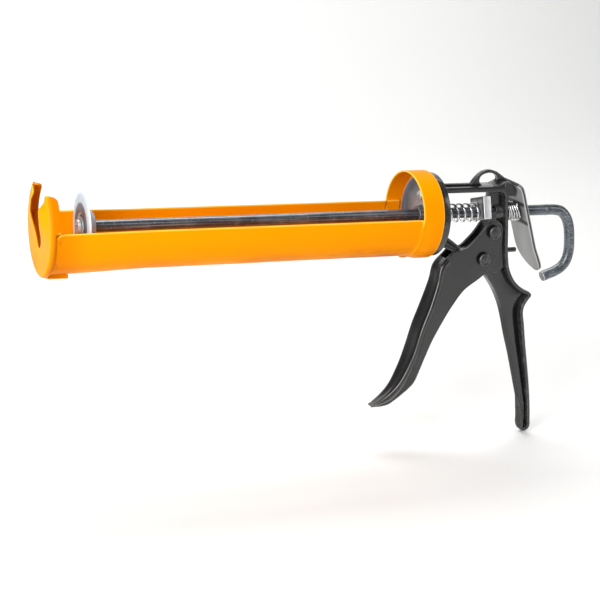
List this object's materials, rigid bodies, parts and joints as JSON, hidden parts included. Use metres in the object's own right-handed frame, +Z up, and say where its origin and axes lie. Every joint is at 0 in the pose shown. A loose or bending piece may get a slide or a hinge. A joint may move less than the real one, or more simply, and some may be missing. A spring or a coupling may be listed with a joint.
{
  "type": "caulking gun",
  "caption": "Skeleton caulking gun: open cradle and slotted yoke for a 300 ml cartridge, hooked push rod with piston, and a squeeze trigger that drives the rod.",
  "frame": {"origin": "on the push rod's axis at the back face of the frame casting's rear wall, over the hand", "axes": "+X back along the push rod from the yoke to the hook, +Y across the gun to its right side as seen from behind, +Z up, away from the handle"},
  "size_m": [0.3663, 0.0572, 0.182],
  "materials": {
    "yellow_paint": "glossy orange-yellow paint on pressed steel",
    "black_casting": "black satin paint on an aluminium casting",
    "zinc_plate": "bright zinc plate on pressed steel",
    "rod_steel": "smooth drawn steel",
    "spring_steel": "bright spring wire",
    "lever_steel": "satin steel strip"
  },
  "bodies": {
    "frame": {"frame_casting": "black_casting", "rear_plate": "zinc_plate", "plate_screw_1": "zinc_plate", "plate_screw_2": "zinc_plate", "plate_screw_3": "zinc_plate", "plate_screw_4": "zinc_plate", "rod_bush": "rod_steel", "trigger_pivot_pin": "black_casting", "lever_stop_pin": "black_casting", "main_spring": "spring_steel", "brake_spring": "spring_steel"},
    "cradle": {"rear_collar": "yellow_paint", "cradle": "yellow_paint", "front_yoke": "yellow_paint"},
    "rod": {"push_rod": "rod_steel", "piston_cup": "zinc_plate", "piston_disc": "zinc_plate", "piston_washer": "zinc_plate", "piston_screw": "zinc_plate"},
    "drive": {"drive_plate": "zinc_plate"},
    "trigger": {"trigger": "black_casting", "pusher_fork": "zinc_plate", "pusher_pin": "black_casting"},
    "lever": {"release_lever": "lever_steel"}
  },
  "joints": [
    {"name": "trigger_hinge", "type": "hinge", "parent": "frame", "child": "trigger", "pos_m": [-0.0141, 0, -0.0301], "axis": [0, -1, 0], "range_deg": [0, 28], "stiffness_Nm_per_rad": 0.8, "springref_deg": -17.19},
    {"name": "drive_slide", "type": "slide", "parent": "frame", "child": "drive", "axis": [-1, 0, 0], "range_m": [0, 0.015], "deforming": ["main_spring"]},
    {"name": "rod_slide", "type": "slide", "parent": "frame", "child": "rod", "axis": [1, 0, 0], "range_m": [-0.005, 0.205]},
    {"name": "lever_hinge", "type": "hinge", "parent": "frame", "child": "lever", "pos_m": [0.004, 0, 0.0178], "axis": [0, 1, 0], "range_deg": [0, 7.5], "stiffness_Nm_per_rad": 0.3, "springref_deg": -14.32, "deforming": ["brake_spring"]},
    {"name": "cradle_swivel", "type": "hinge", "parent": "frame", "child": "cradle", "pos_m": [0, 0, 0], "axis": [1, 0, 0], "continuous": true}
  ],
  "couplings": [
    {"joint": "drive_slide", "follows": "trigger_hinge", "m_per_rad": 0.0303}
  ]
}
